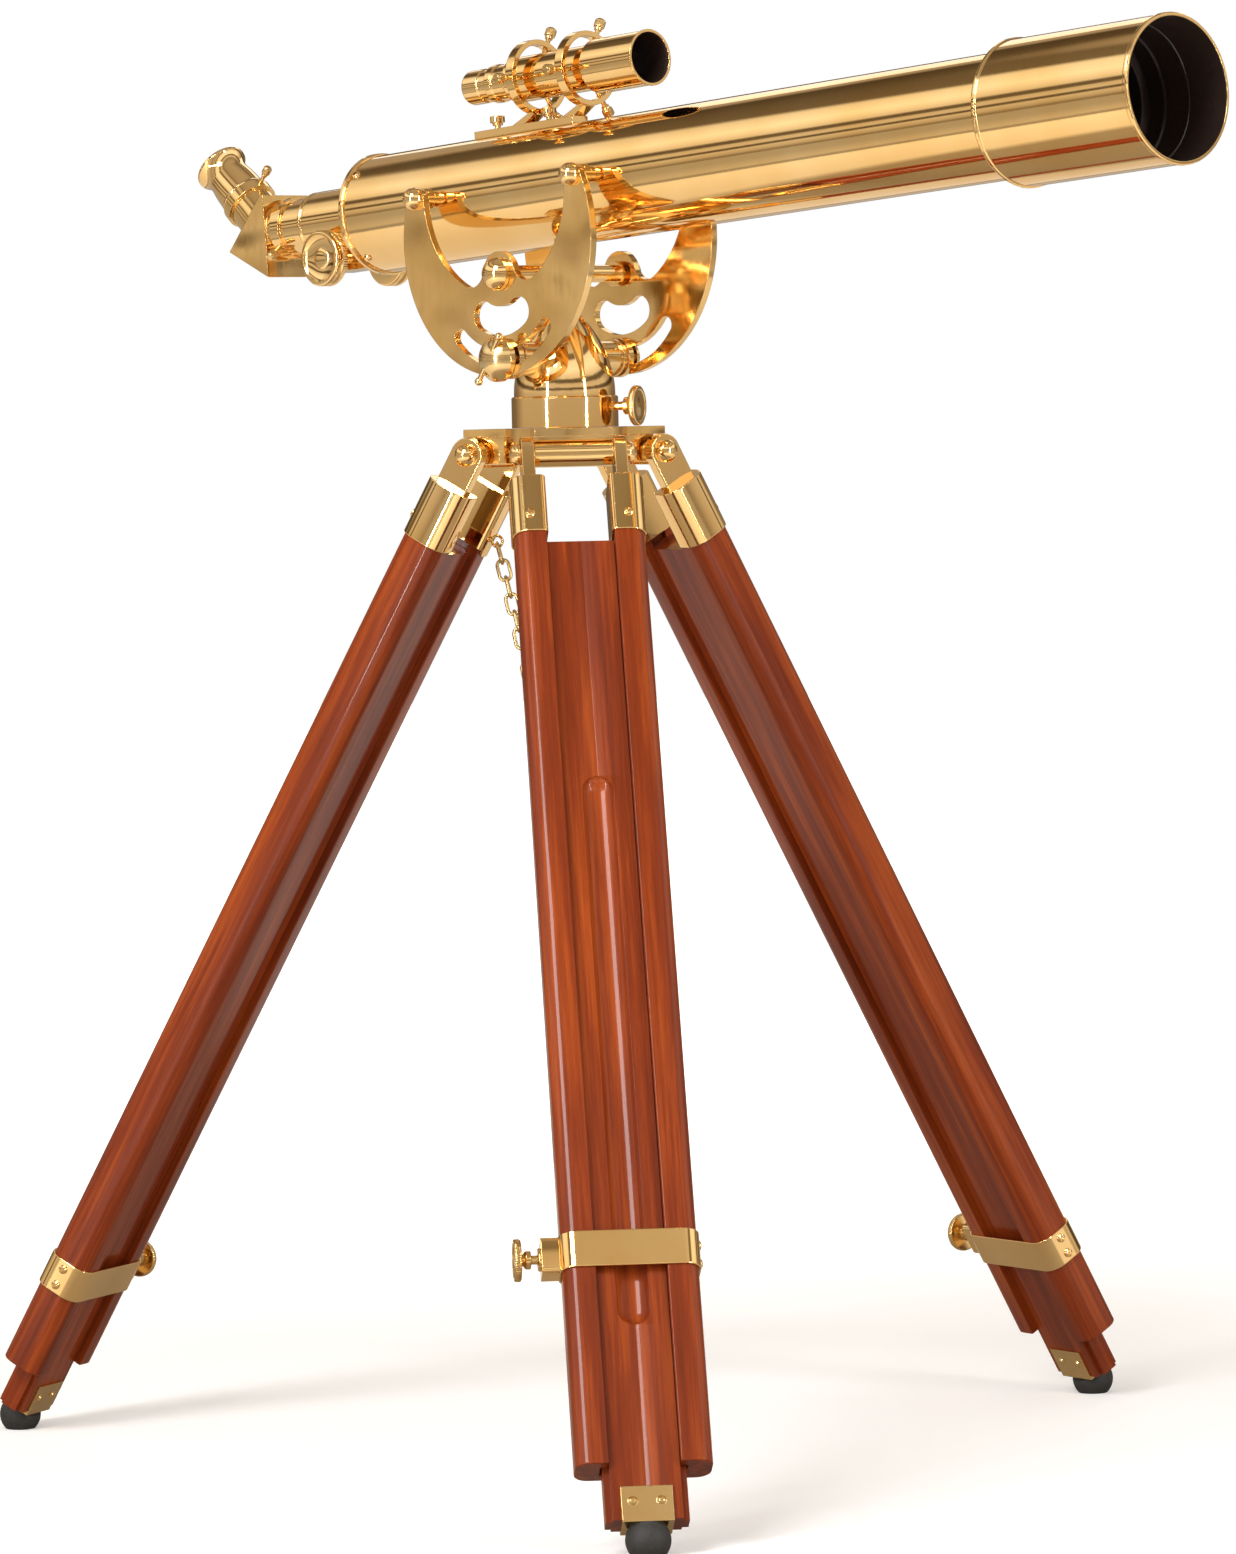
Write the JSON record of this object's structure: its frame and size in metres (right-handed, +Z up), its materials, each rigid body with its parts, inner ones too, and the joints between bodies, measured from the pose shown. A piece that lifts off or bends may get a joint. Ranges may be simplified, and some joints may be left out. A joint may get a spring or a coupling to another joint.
{
  "type": "telescope on tripod",
  "caption": "Brass refracting telescope with finder, focuser and diagonal eyepiece, on an altazimuth mount and a folding wooden tripod with extending legs.",
  "frame": {"origin": "on the floor, under the middle of the object's overall box", "axes": "+Z up; the front leg points to -Y, and the telescope's objective points to +X and -Y"},
  "size_m": [0.9222, 0.8206, 1.0792],
  "materials": {
    "brass": "polished and lacquered",
    "mahogany": "gloss varnish",
    "rubber": "matte",
    "glass": "clear"
  },
  "bodies": {
    "head": {"tripod_head": "brass", "hinge_bolts": "brass"},
    "leg_front": {"leg_front_rails": "mahogany", "leg_front_ferrules": "brass", "leg_front_band": "brass"},
    "leg_front_inner": {"leg_front_board": "mahogany", "leg_front_foot_bracket": "brass", "leg_front_foot": "rubber"},
    "leg_front_clamp": {"leg_front_band_screw": "brass"},
    "leg_right": {"leg_right_rails": "mahogany", "leg_right_ferrules": "brass", "leg_right_band": "brass"},
    "leg_right_inner": {"leg_right_board": "mahogany", "leg_right_foot_bracket": "brass", "leg_right_foot": "rubber"},
    "leg_right_clamp": {"leg_right_band_screw": "brass"},
    "leg_left": {"leg_left_rails": "mahogany", "leg_left_ferrules": "brass", "leg_left_band": "brass", "leg_chain": "brass"},
    "leg_left_inner": {"leg_left_board": "mahogany", "leg_left_foot_bracket": "brass", "leg_left_foot": "rubber"},
    "leg_left_clamp": {"leg_left_band_screw": "brass"},
    "azimuth": {"pedestal": "brass", "pivot_shaft": "brass", "clamp_sleeve": "brass"},
    "azimuth_clamp": {"azimuth_clamp": "brass"},
    "altitude_clamp": {"altitude_clamp": "brass"},
    "telescope": {"crescent_right": "brass", "crescent_left": "brass", "horn_studs": "brass", "main_tube": "brass", "rear_cell": "brass", "objective_cell": "brass", "objective_lens": "glass", "dew_shield": "brass", "focuser_body": "brass", "finder_base": "brass", "finder_ring_rear": "brass", "finder_ring_front": "brass", "finder_tube": "brass", "finder_lens": "glass"},
    "finder_screw_rear_upper": {"finder_screw_rear_upper": "brass"},
    "finder_screw_rear_left": {"finder_screw_rear_left": "brass"},
    "finder_screw_rear_lower": {"finder_screw_rear_lower": "brass"},
    "finder_screw_front_upper": {"finder_screw_front_upper": "brass"},
    "finder_screw_front_left": {"finder_screw_front_left": "brass"},
    "finder_screw_front_lower": {"finder_screw_front_lower": "brass"},
    "draw": {"draw_tube": "brass"},
    "focus": {"focus_knobs": "brass"},
    "diagonal_screw": {"diagonal_screw": "brass"},
    "diagonal": {"diagonal": "brass"},
    "eyepiece": {"eyepiece": "brass"},
    "eyepiece_screw": {"eyepiece_screw": "brass"}
  },
  "joints": [
    {"name": "leg_front_fold", "type": "hinge", "parent": "head", "child": "leg_front", "pos_m": [0.00353, 0.03011, 0.755], "axis": [0.9965, 0.0837, 0], "range_deg": [0, 27]},
    {"name": "leg_front_extend", "type": "slide", "parent": "leg_front", "child": "leg_front_inner", "axis": [0.0416, -0.4952, -0.8678], "range_m": [0, 0.25]},
    {"name": "leg_front_clamp_turn", "type": "hinge", "parent": "leg_front", "child": "leg_front_clamp", "pos_m": [-0.02939, -0.29483, 0.19442], "axis": [-0.9965, -0.0837, 0], "range_deg": [-180, 180]},
    {"name": "leg_right_fold", "type": "hinge", "parent": "head", "child": "leg_right", "pos_m": [0.05073, 0.13042, 0.755], "axis": [-0.5707, 0.8211, 0], "range_deg": [0, 27]},
    {"name": "leg_right_extend", "type": "slide", "parent": "leg_right", "child": "leg_right_inner", "axis": [0.4081, 0.2836, -0.8678], "range_m": [0, 0.25]},
    {"name": "leg_right_clamp_turn", "type": "hinge", "parent": "leg_right", "child": "leg_right_clamp", "pos_m": [0.31195, 0.38503, 0.12674], "axis": [-0.5707, 0.8211, 0], "range_deg": [-180, 180]},
    {"name": "leg_left_fold", "type": "hinge", "parent": "head", "child": "leg_left", "pos_m": [-0.05973, 0.12114, 0.755], "axis": [-0.4258, -0.9048, 0], "range_deg": [0, 27]},
    {"name": "leg_left_extend", "type": "slide", "parent": "leg_left", "child": "leg_left_inner", "axis": [-0.4497, 0.2116, -0.8678], "range_m": [0, 0.25]},
    {"name": "leg_left_clamp_turn", "type": "hinge", "parent": "leg_left", "child": "leg_left_clamp", "pos_m": [-0.35975, 0.32863, 0.12674], "axis": [0.4258, 0.9048, 0], "range_deg": [-180, 180]},
    {"name": "azimuth_turn", "type": "hinge", "parent": "head", "child": "azimuth", "pos_m": [-0.00182, 0.09389, 0.774], "axis": [0, 0, 1], "continuous": true},
    {"name": "azimuth_clamp_turn", "type": "hinge", "parent": "azimuth", "child": "azimuth_clamp", "pos_m": [0.04025, 0.07791, 0.7895], "axis": [0.9348, -0.3551, 0], "range_deg": [-180, 180]},
    {"name": "altitude_clamp_turn", "type": "hinge", "parent": "azimuth", "child": "altitude_clamp", "pos_m": [-0.00182, 0.09389, 0.826], "axis": [-0.729, -0.6845, 0], "range_deg": [-75, 75]},
    {"name": "altitude_tilt", "type": "hinge", "parent": "azimuth", "child": "telescope", "pos_m": [-0.00182, 0.09389, 0.889], "axis": [-0.729, -0.6845, 0], "range_deg": [-45, 40]},
    {"name": "finder_screw_rear_upper_turn", "type": "hinge", "parent": "telescope", "child": "finder_screw_rear_upper", "pos_m": [-0.00902, 0.12213, 1.06311], "axis": [0.299, 0.3674, 0.8807], "range_deg": [-180, 180]},
    {"name": "finder_screw_rear_left_turn", "type": "hinge", "parent": "telescope", "child": "finder_screw_rear_left", "pos_m": [-0.03979, 0.09053, 1.03564], "axis": [-0.7268, -0.6859, -0.0348], "range_deg": [-180, 180]},
    {"name": "finder_screw_rear_lower_turn", "type": "hinge", "parent": "telescope", "child": "finder_screw_rear_lower", "pos_m": [-0.00515, 0.12066, 1.01131], "axis": [0.4278, 0.3186, -0.8459], "range_deg": [-180, 180]},
    {"name": "finder_screw_front_upper_turn", "type": "hinge", "parent": "telescope", "child": "finder_screw_front_upper", "pos_m": [0.02785, 0.08287, 1.06697], "axis": [0.299, 0.3674, 0.8807], "range_deg": [-180, 180]},
    {"name": "finder_screw_front_left_turn", "type": "hinge", "parent": "telescope", "child": "finder_screw_front_left", "pos_m": [-0.00292, 0.05127, 1.03951], "axis": [-0.7268, -0.6859, -0.0348], "range_deg": [-180, 180]},
    {"name": "finder_screw_front_lower_turn", "type": "hinge", "parent": "telescope", "child": "finder_screw_front_lower", "pos_m": [0.03172, 0.0814, 1.01517], "axis": [0.4278, 0.3186, -0.8459], "range_deg": [-180, 180]},
    {"name": "draw_slide", "type": "slide", "parent": "telescope", "child": "draw", "axis": [-0.6828, 0.7271, -0.0715], "range_m": [-0.009, 0.04]},
    {"name": "focus_turn", "type": "hinge", "parent": "telescope", "child": "focus", "pos_m": [-0.1592, 0.26148, 0.90731], "axis": [-0.729, -0.6845, 0], "range_deg": [-94, 417]},
    {"name": "diagonal_screw_turn", "type": "hinge", "parent": "draw", "child": "diagonal_screw", "pos_m": [-0.22011, 0.30102, 0.91905], "axis": [-0.5443, -0.5715, -0.6141], "range_deg": [-180, 180]},
    {"name": "diagonal_turn", "type": "hinge", "parent": "draw", "child": "diagonal", "pos_m": [-0.2153, 0.32122, 0.93181], "axis": [0.6828, -0.7271, 0.0715], "continuous": true},
    {"name": "eyepiece_slide", "type": "slide", "parent": "diagonal", "child": "eyepiece", "axis": [-0.5174, 0.551, 0.6547], "range_m": [0, 0.012]},
    {"name": "eyepiece_screw_turn", "type": "hinge", "parent": "diagonal", "child": "eyepiece_screw", "pos_m": [-0.23428, 0.34143, 0.973], "axis": [0.4482, -0.4773, 0.7559], "range_deg": [-180, 180]}
  ],
  "couplings": [
    {"joint": "focus_turn", "follows": "draw_slide", "rad_per_m": 181.82}
  ]
}
